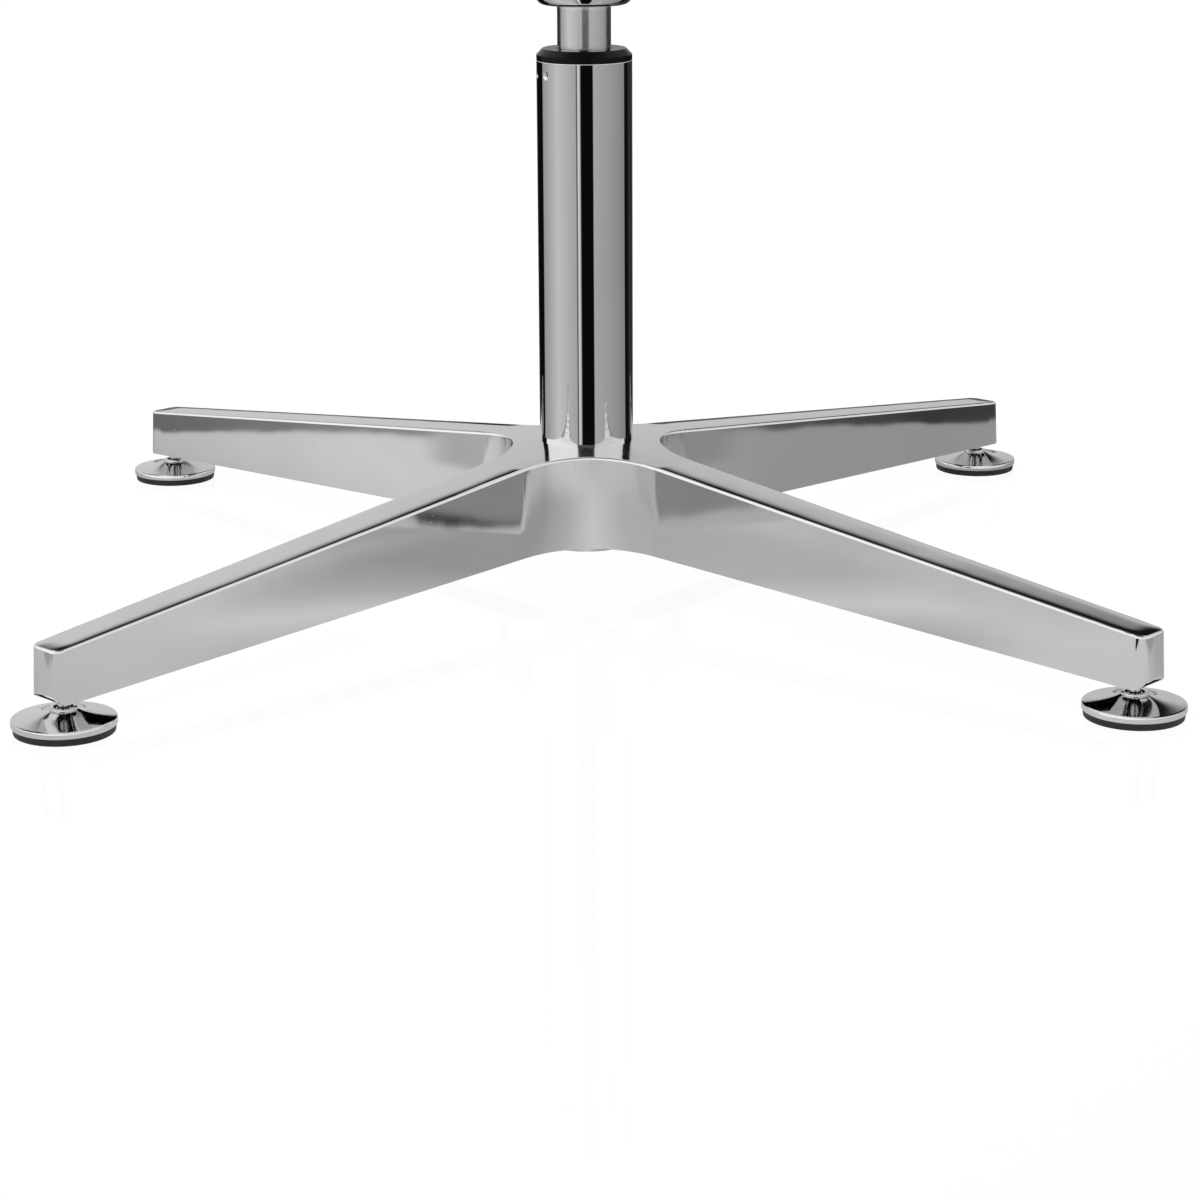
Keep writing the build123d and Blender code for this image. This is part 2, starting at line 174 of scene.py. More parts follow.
class Graph:
    """A node tree and the few ways in which this scene adds nodes to it."""

    def __init__(self, tree: bpy.types.NodeTree) -> None:
        """Empties a node tree.

        Args:
            tree: the tree to fill.
        """
        self.tree = tree
        tree.nodes.clear()

    def node(self, kind: str, settings: dict[str, Any], inputs: dict[Any, Any]) -> bpy.types.Node:
        """Adds a node, sets it up and links or sets its inputs.

        Args:
            kind: the node's type.
            settings: attributes that are set first.
            inputs: a value, a Signal or a socket for each input's name or index.

        Returns:
            The new node.
        """
        made = self.tree.nodes.new(kind)
        for name, value in settings.items():
            if name == "stops":
                self._set_stops(made, value)
            else:
                setattr(made, name, value)
        for key, value in inputs.items():
            if isinstance(value, Signal):
                self.tree.links.new(value.socket, made.inputs[key])
            elif isinstance(value, bpy.types.NodeSocket):
                self.tree.links.new(value, made.inputs[key])
            else:
                made.inputs[key].default_value = value
        return made

    @staticmethod
    def _set_stops(ramp: bpy.types.Node, stops: tuple[tuple[float, float], ...]) -> None:
        """Sets a grey ramp's stops.

        Args:
            ramp: the Color Ramp node.
            stops: a place and a grey value for each stop.
        """
        elements = ramp.color_ramp.elements
        while len(elements) < len(stops):
            elements.new(1.0)
        for element, (place, value) in zip(elements, stops):
            element.position = place
            element.color = (value, value, value, 1.0)

    def coords(self, scale: tuple[float, float, float] = (1.0, 1.0, 1.0)) -> bpy.types.NodeSocket:
        """Object coordinates in metres, stretched along the axes.

        Args:
            scale: the factor along each axis.

        Returns:
            The vector socket.
        """
        place = self.node("ShaderNodeTexCoord", {}, {})
        mapped = self.node("ShaderNodeMapping", {}, {"Vector": place.outputs["Object"], "Scale": scale})
        return mapped.outputs["Vector"]

    def noise(self, grain: Grain) -> Signal:
        """Noise from 0 to 1 on object coordinates.

        Args:
            grain: the pattern's waves, octaves and stretch.

        Returns:
            The noise.
        """
        made = self.node(
            "ShaderNodeTexNoise",
            {},
            {"Vector": self.coords(grain.stretch), "Scale": grain.waves, "Detail": grain.octaves},
        )
        return Signal(self, made.outputs["Fac"])

    def split(self, vector: bpy.types.NodeSocket) -> tuple[Signal, Signal, Signal]:
        """The three numbers of a vector.

        Args:
            vector: the vector socket.

        Returns:
            Its x, y and z.
        """
        parts = self.node("ShaderNodeSeparateXYZ", {}, {0: vector})
        return tuple(Signal(self, out) for out in parts.outputs)

    def grey_mix(self, amount: Signal, dark: tuple, light: tuple) -> bpy.types.NodeSocket:
        """A colour between two.

        Args:
            amount: 0 for the first colour and 1 for the second.
            dark: the first colour.
            light: the second colour.

        Returns:
            The colour socket.
        """
        mix = self.node(
            "ShaderNodeMix",
            {"data_type": "RGBA"},
            {"Factor": amount, "A": (*dark, 1.0), "B": (*light, 1.0)},
        )
        return mix.outputs["Result"]

    def along(self, vector: bpy.types.NodeSocket, axis: Vector) -> Signal:
        """A vector's share along an axis.

        Args:
            vector: the vector socket.
            axis: the axis, of length 1.

        Returns:
            The dot product.
        """
        made = self.node("ShaderNodeVectorMath", {"operation": "DOT_PRODUCT"}, {0: vector, 1: tuple(axis)})
        return Signal(self, made.outputs["Value"])

    def length(self, vector: bpy.types.NodeSocket) -> Signal:
        """A vector's length.

        Args:
            vector: the vector socket.

        Returns:
            The length.
        """
        made = self.node("ShaderNodeVectorMath", {"operation": "LENGTH"}, {0: vector})
        return Signal(self, made.outputs["Value"])

    def mix_shader(self, share: Any, first: bpy.types.Node, second: bpy.types.Node) -> bpy.types.Node:
        """A mix of two shaders.

        Args:
            share: how much of the second one shows.
            first: the first shader.
            second: the second shader.

        Returns:
            The Mix Shader node.
        """
        return self.node("ShaderNodeMixShader", {}, {0: share, 1: first.outputs[0], 2: second.outputs[0]})

    def normal(self) -> bpy.types.NodeSocket:
        """The surface's own normal."""
        return self.node("ShaderNodeNewGeometry", {}, {}).outputs["Normal"]

    def lean(self, offset: tuple[Signal, Signal, Signal]) -> bpy.types.NodeSocket:
        """The surface's normal, leaned by an offset.

        Args:
            offset: the offset along x, y and z, as tangents of the angle.

        Returns:
            The normal socket.
        """
        way = self.node("ShaderNodeCombineXYZ", {}, dict(enumerate(offset)))
        leaned = self.node(
            "ShaderNodeVectorMath",
            {"operation": "ADD"},
            {0: self.normal(), 1: way.outputs[0]},
        )
        unit = self.node("ShaderNodeVectorMath", {"operation": "NORMALIZE"}, {0: leaned.outputs[0]})
        return unit.outputs[0]

    def bump(self, height: Signal, depth: float, normal: Any = None) -> bpy.types.NodeSocket:
        """A bumped normal.

        Args:
            height: the height, from 0 to 1.
            depth: the height's full depth in metres.
            normal: the normal that it starts from, or None for the surface's own.

        Returns:
            The normal socket.
        """
        inputs = {"Height": height, "Distance": depth}
        if normal is not None:
            inputs["Normal"] = normal
        return self.node("ShaderNodeBump", {}, inputs).outputs["Normal"]

    def surface(self, settings: dict[str, Any]) -> None:
        """Ends a material in one Principled shader.

        Args:
            settings: a value, a Signal or a socket for each of its inputs.
        """
        shader = self.node("ShaderNodeBsdfPrincipled", {}, settings)
        self.node("ShaderNodeOutputMaterial", {}, {"Surface": shader.outputs["BSDF"]})


def shade(tone: float, blue: float = 0.0) -> tuple[float, float, float]:
    """A grey of a tone, with that much blue added to it."""
    return tone, tone, tone + blue


def grey_level(level: float) -> float:
    """The light that shows as a grey level from 0 to 255 in the picture, by the standard display curve."""
    white_level, knee, slope, offset, power = 255, 0.04045, 12.92, 0.055, 2.4
    share = level / white_level
    if share <= knee:
        return share / slope
    return ((share + offset) / (1 + offset)) ** power


def turn_share(azimuth: float) -> float:
    """An azimuth in degrees as its place on a ring, from 0 at -180 degrees to 1 at +180 degrees."""
    return azimuth / FULL_TURN + FRONT


@dataclass(frozen=True)
class Finish:
    """A finish: what a surface is made of, and how it was left."""

    name: str

    def fill(self, graph: Graph) -> None:
        """Fills the material's node tree."""
        raise NotImplementedError

    def material(self) -> bpy.types.Material:
        """Makes the material, or returns it if it is there.

        Returns:
            The material.
        """
        made = bpy.data.materials.get(self.name)
        if made is None:
            made = bpy.data.materials.new(self.name)
            made.use_nodes = True
            self.fill(Graph(made.node_tree))
        return made


@dataclass(frozen=True)
class PolishedCasting(Finish):
    """Die-cast aluminium, belt polished and buffed, with a few pits left in it.

    The zones are distances from the column's axis: the hub's corners end at the first, the crown grows over
    the second, and the leg's end and toe start in the last two. A tilt is the tangent of the angle by which
    the normals lean there.
    """

    tone: float = 0.80
    dull: float = 0.035
    bright: float = 0.025
    cold: float = 0.005
    gloss: float = 0.055

    haze: Grain = Grain(14.0, 3.0)
    ripple: Grain = Grain(34.0, 1.0, (1.0, 1.0, 0.55))
    belt: Grain = Grain(1900.0, 2.0, (1.0, 1.0, 0.04))
    pits: Grain = Grain(420.0)
    haze_range: tuple[float, float] = (0.3, 0.7)
    pit_range: tuple[float, float] = (0.745, 0.79)
    haze_share: float = 0.7
    belt_share: float = 0.3

    haze_rough: float = 0.06
    belt_rough: float = 0.04
    corner_rough: float = 0.10
    pit_rough: float = 0.2
    mean_rough: float = 0.05
    ripple_rise: float = 0.86
    belt_rise: float = 0.012
    pit_drop: float = 0.10
    relief: float = 0.22 * MM

    flat_rise: tuple[float, float] = (0.90, 0.97)
    steep_rise: tuple[float, float] = (0.1, 0.5)
    leg_split: float = 2.0 * MM
    half_width: float = 12.0 * MM
    corner_zone: tuple[float, float] = (60 * MM, 69 * MM)
    corner_tilt: float = 0.075
    crown_zone: tuple[float, float] = (230 * MM, 360 * MM)
    crown_tilt: float = 0.22
    crown_gain: float = 0.8
    crown_fade: tuple[float, float] = (0.9, 0.1)
    end_zone: tuple[float, float] = (349 * MM, 356 * MM)
    end_tilt: float = 1.3
    toe_zone: tuple[float, float] = (350 * MM, 368 * MM)
    toe_tilt: float = 0.3

    def worn(self, graph: Graph, corner: Signal) -> bpy.types.NodeSocket:
        """The normals as polishing leaves them: crowned tops, rounded leg ends, upright hub corners.

        Args:
            graph: the node tree.
            corner: 1 in the hub's corners and 0 elsewhere.

        Returns:
            The normal socket.
        """
        x, y, _ = graph.split(graph.coords())
        rise = graph.split(graph.normal())[2]
        flat = rise.step(*self.flat_rise)
        steep = 1 - rise.size().step(*self.steep_rise)
        out = x.size().most(y.size())
        growth = out.step(*self.crown_zone) * self.crown_gain + 1
        crown = flat * corner.step(*self.crown_fade) * growth * self.crown_tilt
        end = steep * out.step(*self.end_zone) * self.end_tilt
        toe = flat * out.step(*self.toe_zone) * self.toe_tilt
        leg_x = (x.size() - y.size()).step(-self.leg_split, self.leg_split)

        def across(place: Signal) -> Signal:
            """The lean across a leg: a crown on its top, and a full round at its end."""
            share = place / self.half_width
            size = share.size()
            return share * (size * size * crown + (1 - size * size) * end)

        def along(place: Signal) -> Signal:
            """The lean outwards, over the toe."""
            return place / place.size() * toe

        return graph.lean(
            (
                leg_x * along(x) + (1 - leg_x) * across(x),
                leg_x * across(y) + (1 - leg_x) * along(y),
                corner * steep * -self.corner_tilt,
            )
        )

    def fill(self, graph: Graph) -> None:
        """Fills the node tree: buffing haze, a slight ripple, pits and fine scratches."""
        haze = graph.noise(self.haze)
        ripple = graph.noise(self.ripple)
        corner = 1 - graph.length(graph.coords(PLAN)).step(*self.corner_zone)
        belt = graph.noise(self.belt)
        pits = graph.noise(self.pits).step(*self.pit_range)
        tone = graph.grey_mix(
            haze.step(*self.haze_range) * self.haze_share + belt * self.belt_share,
            shade(self.tone - self.dull, self.cold),
            shade(self.tone + self.bright),
        )
        scratches = belt * (self.belt_rough + corner * self.corner_rough)
        rough = haze * self.haze_rough + scratches + pits * self.pit_rough
        height = ripple * self.ripple_rise + belt * self.belt_rise - pits * self.pit_drop
        graph.surface(
            {
                "Base Color": tone,
                "Metallic": 1.0,
                "Roughness": rough + (self.gloss - self.mean_rough),
                "Normal": graph.bump(height, self.relief, self.worn(graph, corner)),
            }
        )


@dataclass(frozen=True)
class BrightChrome(Finish):
    """Chrome plate on ground steel, with the grinding lines faintly left under it."""

    tone: float = 0.78
    spread: float = 0.02
    cold: float = 0.004
    gloss: float = 0.035
    grind: float = 0.02

    rings: Grain = Grain(5200.0, 2.0, (0.02, 0.02, 1.0))
    wipe: Grain = Grain(30.0, 3.0, (1.0, 1.0, 0.3))
    dust: Grain = Grain(900.0, 1.0)
    wipe_range: tuple[float, float] = (0.35, 0.7)
    dust_range: tuple[float, float] = (0.80, 0.84)
    wipe_rough: float = 0.03
    ring_rough: float = 0.015
    dust_rough: float = 0.15
    mean_rough: float = 0.015
    wipe_rise: float = 0.4
    relief: float = 0.06 * MM

    def fill(self, graph: Graph) -> None:
        """Fills the node tree: rings of grinding, wipe marks and specks of dust."""
        rings = graph.noise(self.rings)
        wipe = graph.noise(self.wipe)
        dust = graph.noise(self.dust).step(*self.dust_range)
        tone = graph.grey_mix(
            wipe.step(*self.wipe_range),
            shade(self.tone - self.spread, self.cold),
            shade(self.tone + self.spread),
        )
        rough = wipe * self.wipe_rough + rings * self.ring_rough + dust * self.dust_rough
        graph.surface(
            {
                "Base Color": tone,
                "Metallic": 1.0,
                "Roughness": rough + (self.gloss - self.mean_rough),
                "Normal": graph.bump(rings * self.grind + wipe * self.wipe_rise, self.relief),
            }
        )


@dataclass(frozen=True)
class GroundSteel(Finish):
    """Turned and ground steel, bright or oiled."""

    tone: float = 0.55
    oiled: float = 0.85
    tint: float = 0.01
    gloss: float = 0.25

    rings: Grain = Grain(2600.0, 3.0, (0.05, 0.05, 1.0))
    film: Grain = Grain(160.0)
    ring_rough: float = 0.12
    film_rough: float = 0.08
    mean_rough: float = 0.1
    relief: float = 0.03 * MM

    def fill(self, graph: Graph) -> None:
        """Fills the node tree: turning rings and a film of oil."""
        rings = graph.noise(self.rings)
        film = graph.noise(self.film)
        blue = self.tone * self.tint
        tone = graph.grey_mix(film, shade(self.tone * self.oiled, -blue), shade(self.tone, blue))
        rough = rings * self.ring_rough + film * self.film_rough
        graph.surface(
            {
                "Base Color": tone,
                "Metallic": 1.0,
                "Roughness": rough + (self.gloss - self.mean_rough),
                "Normal": graph.bump(rings, self.relief),
            }
        )


@dataclass(frozen=True)
class MouldedPlastic(Finish):
    """Moulded plastic with a fine spark-eroded skin."""

    tone: float = 0.012
    rubbed_gain: float = 1.7
    gloss: float = 0.38
    sheen: float = 0.5

    skin: Grain = Grain(3600.0)
    rubbed: Grain = Grain(55.0, 3.0)
    rubbed_rough: float = 0.14
    skin_rough: float = 0.08
    mean_rough: float = 0.1
    relief: float = 0.04 * MM

    def fill(self, graph: Graph) -> None:
        """Fills the node tree: the mould's grain and a slight sheen where it is rubbed."""
        skin = graph.noise(self.skin)
        rubbed = graph.noise(self.rubbed)
        tone = graph.grey_mix(rubbed, shade(self.tone), shade(self.tone * self.rubbed_gain))
        rough = rubbed * self.rubbed_rough + skin * self.skin_rough
        graph.surface(
            {
                "Base Color": tone,
                "Specular IOR Level": self.sheen,
                "Roughness": rough + (self.gloss - self.mean_rough),
                "Normal": graph.bump(skin, self.relief),
            }
        )


@dataclass(frozen=True)
class SoftRubber(Finish):
    """Moulded black rubber, slightly dusty."""

    tone: float = 0.010
    dusty: float = 0.05
    gloss: float = 0.55

    skin: Grain = Grain(2400.0, 3.0)
    dust: Grain = Grain(210.0, 3.0)
    dust_range: tuple[float, float] = (0.45, 0.85)
    dust_rough: float = 0.2
    skin_rough: float = 0.1
    mean_rough: float = 0.1
    relief: float = 0.05 * MM

    def fill(self, graph: Graph) -> None:
        """Fills the node tree: grain, and dust that lies in patches."""
        skin = graph.noise(self.skin)
        dust = graph.noise(self.dust).step(*self.dust_range)
        tone = graph.grey_mix(dust * skin, shade(self.tone), shade(self.tone + self.dusty))
        rough = dust * self.dust_rough + skin * self.skin_rough
        graph.surface(
            {
                "Base Color": tone,
                "Roughness": rough + (self.gloss - self.mean_rough),
                "Normal": graph.bump(skin, self.relief),
            }
        )


class Finishes(Enum):
    """The finishes of this base."""

    CAST_STAR = PolishedCasting("cast_star_polish")
    STAND_TUBE = BrightChrome("stand_tube_chrome")
    LIFT = BrightChrome("lift_chrome_ground", tone=0.80, gloss=0.19, grind=0.12)
    CUP = BrightChrome("cup_chrome_bright", tone=0.80, gloss=0.05)
    DOME = BrightChrome("dome_chrome_bright", tone=0.80, gloss=0.06)
    STEM = GroundSteel("stem_zinc", tone=0.72, gloss=0.22)
    STEEL = GroundSteel("turned_steel_bright")
    BEARING = GroundSteel("bearing_steel_polished", tone=0.65, gloss=0.14)
    SPRING = GroundSteel("spring_steel_oiled", tone=0.22, gloss=0.3)
    ALLOY = GroundSteel("valve_alloy_turned", tone=0.66, gloss=0.3)
    BUSH = MouldedPlastic("bush_plastic_black", tone=0.003, gloss=0.19, sheen=0.12)
    NYLON = MouldedPlastic("liner_nylon_black", tone=0.02, gloss=0.45)
    CAGE = MouldedPlastic("cage_plastic_grey", tone=0.09, gloss=0.45)
    BUFFER = SoftRubber("buffer_rubber_black")
    PAD = SoftRubber("pad_rubber_black")


def dress(node: str, finish: Finishes) -> None:
    """Gives a CAD node its finish.

    Args:
        node: the node's name.
        finish: the finish that it gets.
    """
    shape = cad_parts[node]
    shape.data.materials.clear()
    shape.data.materials.append(finish.value.material())
    LOG.info("dressed %s in %s", node, finish.value.name)


@dataclass
class Star:
    """The cast star with its four legs."""

    node: str = "star_base"

    def build(self) -> None:
        """Dresses the casting."""
        dress(self.node, Finishes.CAST_STAR)


@dataclass
class Column:
    """The stand tube with its guide bush, and what stands in its foot."""

    tube: str = "column_tube"
    bush: str = "guide_bush"

    def build(self) -> None:
        """Dresses the column's pieces."""
        dress(self.tube, Finishes.STAND_TUBE)
        dress(self.bush, Finishes.BUSH)
        dress("bearing_plate", Finishes.STEEL)
        dress("lower_race", Finishes.BEARING)
        dress("upper_race", Finishes.BEARING)
        dress("bearing_cage", Finishes.CAGE)
        dress("bearing_balls", Finishes.BEARING)
        dress("rubber_buffer", Finishes.BUFFER)
        dress("retaining_clip", Finishes.SPRING)


@dataclass
class GasLift:
    """The gas cylinder with its rod, valve and pin, and the cover cup on its taper."""

    cylinder: str = "gas_cylinder"
    cup: str = "cover_cup"

    def build(self) -> None:
        """Dresses the lift's pieces."""
        dress(self.cylinder, Finishes.LIFT)
        dress(self.cup, Finishes.CUP)
        dress("piston_rod", Finishes.STEEL)
        dress("rod_guide", Finishes.CAGE)
        dress("piston", Finishes.ALLOY)
        dress("valve_block", Finishes.ALLOY)
        dress("release_pin", Finishes.STEEL)


def bezier(control: tuple[tuple[float, float], ...], steps: int) -> list[tuple[float, float]]:
    """Points on a cubic curve.

    Args:
        control: its four control points.
        steps: how many steps it is cut into.

    Returns:
        The points, both ends among them.
    """
    points = []
    for number in range(steps + 1):
        t = number / steps
        weights = ((1 - t) ** 3, 3 * t * (1 - t) ** 2, 3 * t * t * (1 - t), t**3)
        points.append(tuple(sum(w * place[axis] for w, place in zip(weights, control)) for axis in (0, 1)))
    return points


@dataclass
class Glide:
    """One swivel glide under the end of a leg, with its bell turned finer than in the solids.

    The parts of the bell's section are given in millimetres, as distances from the glide's axis and heights
    above the floor: the seat of the ball, the lip round the neck, the bell's curve and the rim.
    """

    corner: str
    heading: float
    reach: float = 353 * MM
    facets: int = 160
    smooth: float = 24.0
    weld: float = 0.001 * MM
    bell_steps: int = 28

    seat: tuple[tuple[float, float], ...] = (
        (7.2, 3.6), (7.2, 1.6), (5.6, 1.6), (5.6, 6.4), (5.52, 7.35), (5.28, 8.27), (4.73, 9.4),
    )
    lip: tuple[tuple[float, float], ...] = (
        (4.73, 11.9), (6.15, 11.9), (6.47, 11.78), (6.6, 11.45), (6.6, 11.0), (6.3, 10.7),
    )
    bell: tuple[tuple[float, float], ...] = ((7.3, 10.4), (10.4, 8.7), (16.4, 7.5), (24.1, 6.6))
    rim: tuple[tuple[float, float], ...] = (
        (24.52, 6.42), (24.7, 6.0), (24.7, 3.6), (23.2, 3.6), (23.2, 5.1), (7.2, 5.85),
    )

    def section(self) -> list[tuple[float, float]]:
        """The dome's section as a closed loop."""
        return [*self.seat, *self.lip, *bezier(self.bell, self.bell_steps), *self.rim]

    def turn_dome(self) -> bpy.types.Object:
        """Turns the dome from its section.

        Returns:
            The dome, with its finish.
        """
        x = self.reach * cos(radians(self.heading))
        y = self.reach * sin(radians(self.heading))
        points = [(x + r * MM, y, z * MM) for r, z in self.section()]
        edges = [(number, (number + 1) % len(points)) for number in range(len(points))]
        mesh = bpy.data.meshes.new(f"dome_{self.corner}")
        mesh.from_pydata(points, edges, [])
        dome = bpy.data.objects.new(f"dome_{self.corner}", mesh)
        bpy.context.scene.collection.objects.link(dome)
        bpy.ops.object.select_all(action="DESELECT")
        dome.select_set(True)
        bpy.context.view_layer.objects.active = dome
        bpy.ops.object.mode_set(mode="EDIT")
        bpy.ops.mesh.select_all(action="SELECT")
        bpy.ops.mesh.spin(steps=self.facets, angle=2 * pi, center=(x, y, 0.0), axis=(0.0, 0.0, 1.0))
        bpy.ops.mesh.select_all(action="SELECT")
        bpy.ops.mesh.remove_doubles(threshold=self.weld)
        bpy.ops.mesh.normals_make_consistent(inside=False)
        bpy.ops.object.mode_set(mode="OBJECT")
        bpy.ops.object.shade_smooth_by_angle(angle=radians(self.smooth))
        mesh.materials.append(Finishes.DOME.value.material())
        return dome

    def build(self) -> None:
        """Dresses the glide's pieces and puts the turned dome in its node's place."""
        dress(f"glide_pad_{self.corner}", Finishes.PAD)
        dress(f"glide_liner_{self.corner}", Finishes.NYLON)
        dress(f"glide_stem_{self.corner}", Finishes.STEM)
        dome = self.turn_dome()
        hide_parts(f"glide_dome_{self.corner}")
        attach(dome, f"foot_{self.corner}")


@dataclass
class Studio:
    """The camera, the floor and the light round the object.

    Azimuth 0 points from the object back to the photographer and grows to the right. Levels are the grey
    levels, from 0 to 255, that polished metal shows where it mirrors that part of the studio. A ring gives
    an azimuth in degrees and a level for each of its stops.

    Metal sees the floor in zones: near the hub, with the base's shade on the floor painted in, the table
    round it, and beyond the table's edge. The column sees the surroundings in the floor's place from the far
    zone outwards, and the lens stands dark in front.
    Second reflections are told from first ones by the ray's count of bounces, of which the sky counts one
    more than the floor does.
    """

    azimuth: float = 43.282
    pitch: float = 15.97
    roll: float = -0.278
    distance: float = 1594.97 * MM
    height: float = 444.67 * MM
    shift: float = 6.82 * MM
    focal_pixels: float = 3033.7
    frame_pixels: float = 1200.0
    sensor: float = 36.0
    clip: tuple[float, float] = (0.05, 200.0)

    floor_half: float = 30.0
    floor_tone: float = 0.86
    floor_glow: float = 1.09
    glow_share: float = 0.9
    floor_image: float = 0.055
    floor_polish: float = 0.05
    metal_tone: float = 0.80

    near_zone: tuple[float, float] = (200 * MM, 290 * MM)
    edge_zone: tuple[float, float] = (512 * MM, 532 * MM)
    far_zone: tuple[float, float] = (300 * MM, 345 * MM)
    column_zone: tuple[float, float] = (70 * MM, 100 * MM)
    lens_zone: tuple[float, float] = (352 * MM, 372 * MM)
    lens_width: tuple[float, float] = (-9.0, 20.0)
    lens_blur: float = 1.0
    lens_level: float = 9.0
    second_glow: float = 0.33
    second_floor: tuple[float, float] = (1.4, 1.6)

    # The near ring is darker than the table round it: painted shade of the base on the floor, as metal
    # mirrors it.
    near: tuple[tuple[float, float], ...] = (
        (-180, 190), (-110, 198), (-70, 166), (-25, 172), (0, 196), (20, 168), (45, 146),
        (110, 148), (140, 165), (180, 190),
    )
    table: tuple[tuple[float, float], ...] = (
        (-180, 180), (-128, 166), (-120, 183), (-104, 200), (-60, 178), (-33, 184), (0, 188),
        (13, 198), (36, 194), (60, 165), (90, 150), (125, 143), (150, 160), (180, 180),
    )
    beyond: tuple[tuple[float, float], ...] = (
        (-180, 100), (-118, 101), (-108, 118), (-60, 148), (0, 150), (60, 149), (106, 78),
        (118, 54), (180, 100),
    )
    surroundings: tuple[tuple[float, float], ...] = (
        (-180, 44), (-158, 52), (-152, 10), (-121, 10), (-119.5, 146),
        (-95, 165), (-70, 192), (-45, 178), (-21, 162), (-19.5, 60), (-17.5, 60), (-16.5, 215),
        (-12, 190), (-9, 8), (19.5, 8), (21, 164), (60, 152), (105, 132), (109.5, 130),
        (111, 14), (126, 14), (131, 46), (148, 42), (180, 80),
    )

    screen_blur: tuple[float, float] = (-5.0, 10.0)
    ceiling_level: float = 24.0
    zenith_level: float = 92.0
    zenith_zone: tuple[float, float] = (46.0, 66.0)
    second_zone: tuple[float, float] = (28.0, 31.0)
    second_sky: tuple[float, float] = (2.4, 2.6)

    low_sky: tuple[tuple[float, float], ...] = (
        (-180, 203), (-168, 212), (-150, 216), (-143.5, 225), (-142.5, 12), (-116, 12), (-114.5, 272),
        (-24, 272), (-20, 60), (-9, 22), (19, 22), (22, 242), (106, 242), (108, 12), (147, 12),
        (149, 205), (166, 198), (180, 203),
    )
    sky: tuple[tuple[float, float], ...] = (
        (-180, 203), (-168, 212), (-150, 216), (-115, 268), (-24, 262), (24, 242), (106, 242),
        (149, 205), (166, 198), (180, 203),
    )
    screen_tops: tuple[tuple[float, float], ...] = (
        (-180, 27), (-146, 29), (-140, 62), (0, 66), (140, 62),
        (147, 17), (166, 20), (172, 24), (180, 27),
    )

    def axes(self) -> tuple[Vector, Vector, Vector]:
        """The level directions seen from the object.

        Returns:
            The directions back to the camera, to its right, and up.
        """
        turn = radians(self.azimuth)
        back = Vector((sin(turn), -cos(turn), 0.0))
        right = Vector((cos(turn), sin(turn), 0.0))
        return back, right, Vector((0.0, 0.0, 1.0))

    def light_for(self, level: float) -> float:
        """The light that polished metal shows as a grey level."""
        return grey_level(level) / self.metal_tone

    def make_camera(self) -> None:
        """Places the camera at the photograph's viewpoint."""
        back, right, up = self.axes()
        tilt, roll = radians(self.pitch), radians(self.roll)
        forward = -back * cos(tilt) - up * sin(tilt)
        over = -back * sin(tilt) + up * cos(tilt)
        side = right * cos(roll) + over * sin(roll)
        top = over * cos(roll) - right * sin(roll)
        place = back * self.distance + right * self.shift + up * self.height
        lens = bpy.data.cameras.new("camera")
        lens.sensor_fit = "HORIZONTAL"
        lens.sensor_width = self.sensor
        lens.lens = self.focal_pixels / self.frame_pixels * self.sensor
        lens.clip_start, lens.clip_end = self.clip
        camera = bpy.data.objects.new("camera", lens)
        turn = Matrix((side, top, -forward)).transposed().to_4x4()
        camera.matrix_world = Matrix.Translation(place) @ turn
        bpy.context.scene.collection.objects.link(camera)
        bpy.context.scene.camera = camera

    def around(self, graph: Graph, vector: bpy.types.NodeSocket) -> Signal:
        """The azimuth of a direction or a place.

        Args:
            graph: the node tree.
            vector: the direction or the place.

        Returns:
            Its azimuth, from 0 at -180 degrees to 1 at +180 degrees.
        """
        back, right, _ = self.axes()
        across = graph.along(vector, right)
        return across.angle_to(graph.along(vector, back)) / (2 * pi) + FRONT

    def profile(self, graph: Graph, azimuth: Signal, values: tuple[tuple[float, float], ...]) -> Signal:
        """A number that changes with the azimuth.

        Args:
            graph: the node tree.
            azimuth: the azimuth, from 0 to 1.
            values: an azimuth in degrees and a number for each stop.

        Returns:
            The number.
        """
        stops = tuple((turn_share(turn), value) for turn, value in values)
        ramp = graph.node("ShaderNodeValToRGB", {"stops": stops}, {"Fac": azimuth})
        return Signal(graph, ramp.outputs["Color"])

    def ring(self, graph: Graph, azimuth: Signal, levels: tuple[tuple[float, float], ...]) -> Signal:
        """Light that changes with the azimuth.

        Args:
            graph: the node tree.
            azimuth: the azimuth, from 0 to 1.
            levels: an azimuth in degrees and a level for each stop.

        Returns:
            The light.
        """
        return self.profile(graph, azimuth, tuple((turn, self.light_for(level)) for turn, level in levels))

    def zones(self, graph: Graph, path: bpy.types.Node) -> Signal:
        """The floor's light as metal sees it.

        Args:
            graph: the floor's node tree.
            path: its Light Path node.

        Returns:
            The light.
        """
        place = graph.coords()
        reach = graph.length(place)
        azimuth = self.around(graph, place)
        near, table, beyond, surroundings = (
            self.ring(graph, azimuth, levels)
            for levels in (self.near, self.table, self.beyond, self.surroundings)
        )
        # Close to the hub the light is the near ring's painted shade of the base, fading into the table's
        # light further out.
        light = near + (table - near) * reach.step(*self.near_zone)
        light = light + (beyond - light) * reach.step(*self.edge_zone)
        length = Signal(graph, path.outputs["Ray Length"])
        far = length.step(*self.far_zone)
        from_column = 1 - (reach - length).step(*self.column_zone)
        light = light + (surroundings - light) * (far * from_column)
        left, right = (turn_share(side) for side in self.lens_width)
        lens = azimuth.band(left, right, self.lens_blur / FULL_TURN) * reach.step(*self.lens_zone)
        light = light + (self.light_for(self.lens_level) - light) * lens
        again = Signal(graph, path.outputs["Ray Depth"]).step(*self.second_floor)
        return light + (self.second_glow - light) * again * far

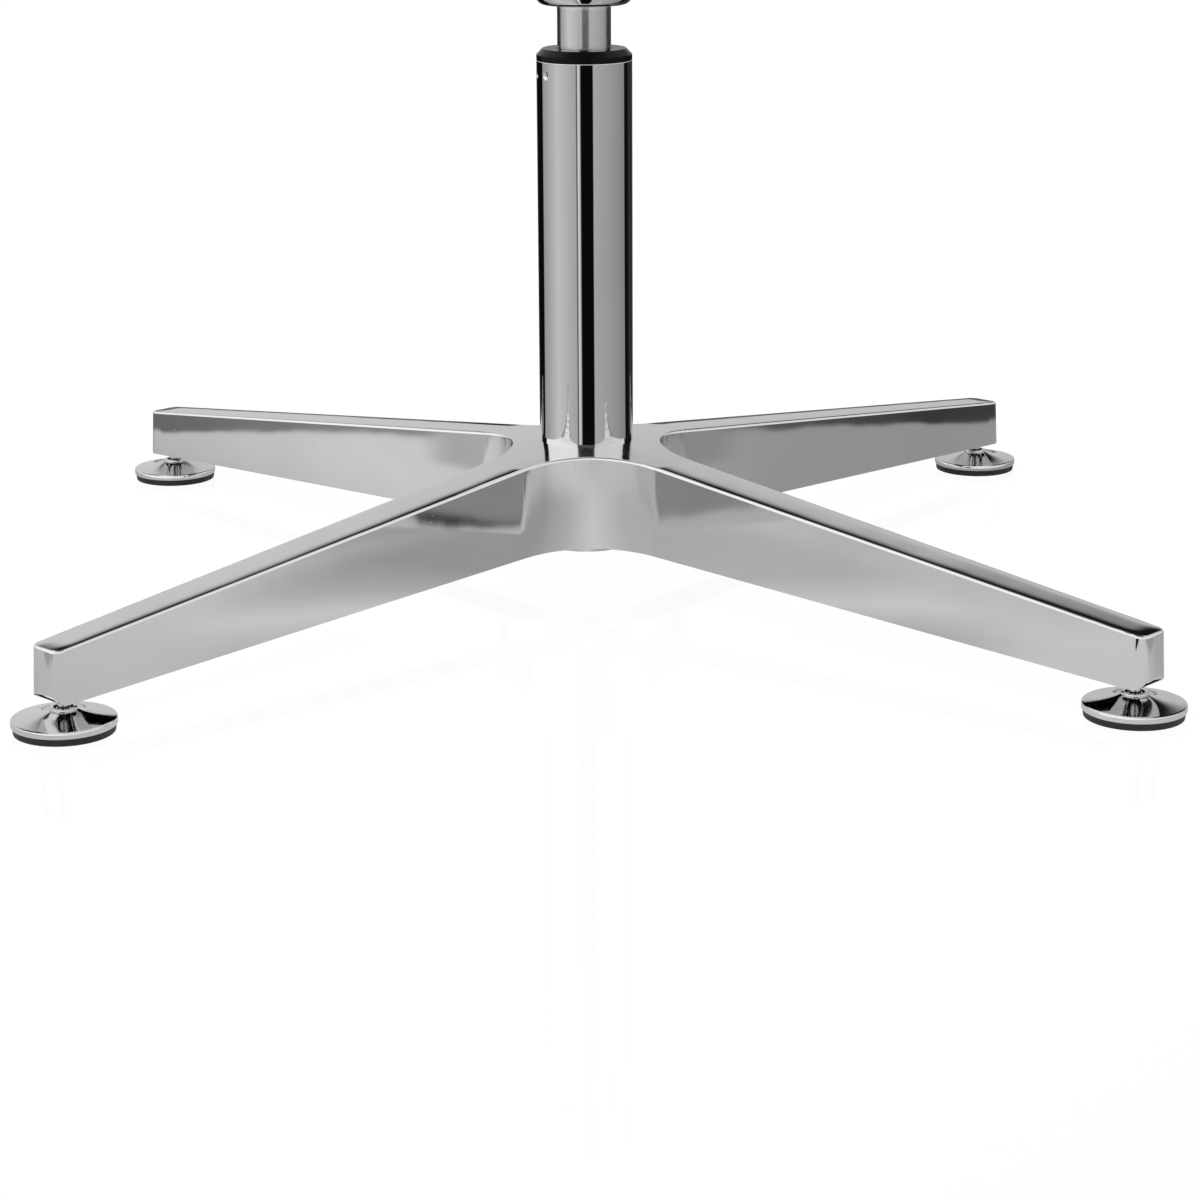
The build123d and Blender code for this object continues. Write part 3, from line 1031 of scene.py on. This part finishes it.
    def make_floor(self) -> None:
        """Lays the pale floor: white with a faint mirror image to the camera, and zoned as metal sees it."""
        bpy.ops.object.select_all(action="DESELECT")
        bpy.ops.mesh.primitive_plane_add(size=2 * self.floor_half, location=(0, 0, 0))
        floor = bpy.context.object
        floor.name = "floor"
        made = bpy.data.materials.new("floor_white")
        made.use_nodes = True
        graph = Graph(made.node_tree)
        path = graph.node("ShaderNodeLightPath", {}, {})
        seen = {"Color": WHITE, "Strength": self.zones(graph, path)}
        matt = graph.node("ShaderNodeBsdfDiffuse", {}, {"Color": (*shade(self.floor_tone), 1.0)})
        glow = graph.node("ShaderNodeEmission", {}, {"Color": WHITE, "Strength": self.floor_glow})
        zones = graph.node("ShaderNodeEmission", {}, seen)
        shine = graph.node("ShaderNodeBsdfGlossy", {}, {"Color": WHITE, "Roughness": self.floor_polish})
        shown = graph.mix_shader(self.glow_share, matt, glow)
        photo = graph.mix_shader(self.floor_image, shown, shine)
        other = graph.mix_shader(path.outputs["Is Glossy Ray"], matt, zones)
        both = graph.mix_shader(path.outputs["Is Camera Ray"], other, photo)
        graph.node("ShaderNodeOutputMaterial", {}, {"Surface": both.outputs[0]})
        floor.data.materials.append(made)

    def make_world(self) -> None:
        """Fills the sky with the studio's screens and ceiling, and shows it white to the camera."""
        up = self.axes()[2]
        world = bpy.data.worlds.new("studio")
        bpy.context.scene.world = world
        world.use_nodes = True
        graph = Graph(world.node_tree)
        way = graph.node("ShaderNodeTexCoord", {}, {}).outputs["Generated"]
        azimuth = self.around(graph, way)
        rise = graph.along(way, up).elevation() * (180 / pi)
        path = graph.node("ShaderNodeLightPath", {}, {})
        low = self.ring(graph, azimuth, self.low_sky)
        screens = self.ring(graph, azimuth, self.sky)
        again = Signal(graph, path.outputs["Ray Depth"]).step(*self.second_sky)
        screens = screens + (low - screens) * again * (1 - rise.step(*self.second_zone))
        ceiling, zenith = (self.light_for(level) for level in (self.ceiling_level, self.zenith_level))
        overhead = rise.step(*self.zenith_zone) * (zenith - ceiling) + ceiling
        tops = self.profile(graph, azimuth, self.screen_tops)
        light = screens + (overhead - screens) * (rise - tops).step(*self.screen_blur)
        seen = Signal(graph, path.outputs["Is Camera Ray"])
        air = graph.node("ShaderNodeBackground", {}, {"Strength": light * (1 - seen) + seen})
        graph.node("ShaderNodeOutputWorld", {}, {"Surface": air.outputs[0]})

    def build(self) -> None:
        """Sets up the camera, the floor, the light and the picture's plain colours."""
        self.make_camera()
        self.make_floor()
        self.make_world()
        bpy.context.scene.view_settings.view_transform = "Standard"


def main() -> None:
    """Builds the studio and the object in order."""
    logging.basicConfig(level=logging.INFO)
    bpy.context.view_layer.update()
    Studio().build()
    quarter = FULL_TURN / len(CORNERS)
    glides = [Glide(corner, quarter * number) for number, corner in enumerate(CORNERS)]
    assemblies = [Star(), Column(), GasLift(), *glides]
    for assembly in assemblies:
        assembly.build()
        LOG.info("built %s", assembly)


if __name__ == "__main__":
    main()
